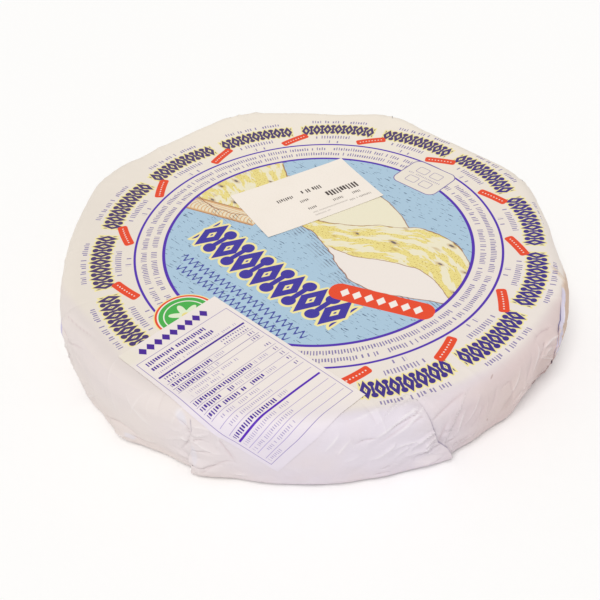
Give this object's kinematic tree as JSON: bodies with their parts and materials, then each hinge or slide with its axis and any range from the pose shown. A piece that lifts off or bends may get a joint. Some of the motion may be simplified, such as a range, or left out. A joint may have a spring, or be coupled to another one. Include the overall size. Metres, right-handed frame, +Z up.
{
  "type": "paper-wrapped blue cheese wheel",
  "caption": "Low round wheel of soft blue cheese, shut in printed paper that is pleated tight down its side, with paper labels stuck on it.",
  "frame": {"origin": "middle of the flat underside, at the height of the surface that the wheel rests on", "axes": "+Z up, out of the printed top; -Y towards the front, where the long label folds down over the rim; +X to the right as seen from the front"},
  "size_m": [0.2557, 0.2739, 0.0412],
  "materials": {
    "wrap_paper": "printed waxed paper, satin",
    "weight_label_paper": "white label paper, matt",
    "table_label_paper": "smooth label paper, half gloss"
  },
  "bodies": {
    "root": {"wrapped_wheel": "wrap_paper", "weight_label": "weight_label_paper", "table_label": "table_label_paper"}
  },
  "joints": []
}
